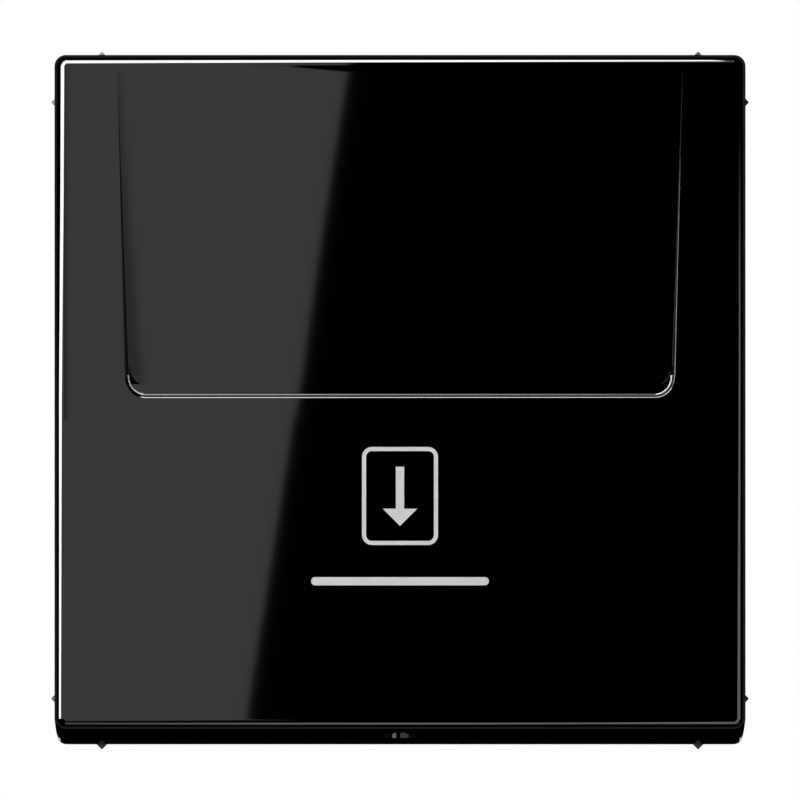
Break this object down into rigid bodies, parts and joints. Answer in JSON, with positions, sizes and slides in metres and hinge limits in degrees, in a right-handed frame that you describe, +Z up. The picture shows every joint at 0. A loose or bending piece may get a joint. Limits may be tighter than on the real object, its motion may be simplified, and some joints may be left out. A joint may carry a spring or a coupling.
{
  "type": "hotel key card switch",
  "caption": "Square flush-mounted wall switch worked by a key card: gloss cover with a sloping card recess and slot, over a rocker switch with box claws.",
  "frame": {"origin": "centre of the mounting ring's back face, on the wall plane, midway between the box screw slots", "axes": "+X to the right seen from the room, +Y into the wall, +Z up; the cover faces -Y"},
  "size_m": [0.071, 0.043, 0.071],
  "materials": {
    "cover": "high gloss black",
    "frame": "satin dark grey",
    "light_guide": "clear plastic",
    "guide": "satin black",
    "screw": "zinc plated",
    "lever": "satin light grey",
    "pin": "drawn steel",
    "ring": "zinc plated sheet",
    "housing": "moulded light grey",
    "carrier": "moulded off white",
    "rocker": "moulded white",
    "plunger": "moulded red",
    "spring": "spring steel",
    "insulation": "laminated board",
    "brass": "stamped strip",
    "contact": "silver alloy",
    "cage": "plated steel",
    "button": "moulded orange",
    "lamp": "moulded white",
    "led": "tinted clear resin",
    "claw": "zinc plated sheet"
  },
  "bodies": {
    "base": {"front_cover": "cover", "mounting_frame": "frame", "light_guide": "light_guide", "card_guide": "guide", "guide_screws": "screw", "lever_pin": "pin", "support_ring": "ring", "frame_screws": "screw", "switch_housing": "housing", "rocker_carrier": "carrier", "carrier_screws": "screw", "rocker_axle": "pin", "return_spring": "spring", "insulating_plate": "insulation", "common_bar": "brass", "open_contact_bar": "brass", "closed_contact_bar": "brass", "fixed_contact_tips": "contact", "terminal_cages": "cage", "clamp_springs": "spring", "lamp_body": "lamp", "lamp_led": "led", "lamp_contacts": "brass"},
    "card_lever": {"card_lever": "lever"},
    "rocker": {"rocker": "rocker"},
    "plunger": {"plunger": "plunger"},
    "contact_arm": {"contact_arm": "brass", "moving_contact": "contact"},
    "claw_left": {"claw_left": "claw"},
    "claw_right": {"claw_right": "claw"},
    "claw_screw_left": {"claw_screw_left": "screw"},
    "claw_screw_right": {"claw_screw_right": "screw"},
    "release_left": {"release_button_left": "button"},
    "release_right": {"release_button_right": "button"}
  },
  "joints": [
    {"name": "lever_swing", "type": "hinge", "parent": "base", "child": "card_lever", "pos_m": [0, -0.0082, 0.008], "axis": [1, 0, 0], "range_deg": [0, 7.5], "stiffness_Nm_per_rad": 0.15, "springref_deg": -8.59},
    {"name": "rocker_swing", "type": "hinge", "parent": "base", "child": "rocker", "pos_m": [0, -0.0036, 0.01], "axis": [1, 0, 0], "range_deg": [0, 6.8]},
    {"name": "plunger_slide", "type": "slide", "parent": "base", "child": "plunger", "axis": [0, 1, 0], "range_m": [0, 0.0015], "deforming": ["return_spring"]},
    {"name": "contact_swing", "type": "hinge", "parent": "base", "child": "contact_arm", "pos_m": [0, 0.0093, 0.009], "axis": [1, 0, 0], "range_deg": [0, 6.2]},
    {"name": "claw_left_swing", "type": "hinge", "parent": "base", "child": "claw_left", "pos_m": [-0.0214, -0.0003, 0], "axis": [0, 0, 1], "range_deg": [0, 20]},
    {"name": "claw_right_swing", "type": "hinge", "parent": "base", "child": "claw_right", "pos_m": [0.0214, -0.0003, 0], "axis": [0, 0, -1], "range_deg": [0, 20]},
    {"name": "claw_screw_left_turn", "type": "hinge", "parent": "base", "child": "claw_screw_left", "pos_m": [-0.0244, 0, 0], "axis": [0, 1, 0], "range_deg": [0, 1080]},
    {"name": "claw_screw_right_turn", "type": "hinge", "parent": "base", "child": "claw_screw_right", "pos_m": [0.0244, 0, 0], "axis": [0, 1, 0], "range_deg": [0, 1080]},
    {"name": "release_left_press", "type": "slide", "parent": "base", "child": "release_left", "axis": [0, -1, 0], "range_m": [0, 0.0012], "stiffness_N_per_m": 400, "springref_m": -0.001},
    {"name": "release_right_press", "type": "slide", "parent": "base", "child": "release_right", "axis": [0, -1, 0], "range_m": [0, 0.0012], "stiffness_N_per_m": 400, "springref_m": -0.001}
  ],
  "couplings": [
    {"joint": "rocker_swing", "follows": "lever_swing", "ratio": 0.88},
    {"joint": "plunger_slide", "follows": "lever_swing", "m_per_rad": 0.0111},
    {"joint": "contact_swing", "follows": "lever_swing", "ratio": 0.8},
    {"joint": "claw_screw_left_turn", "follows": "claw_left_swing", "ratio": 54},
    {"joint": "claw_screw_right_turn", "follows": "claw_right_swing", "ratio": 54}
  ]
}
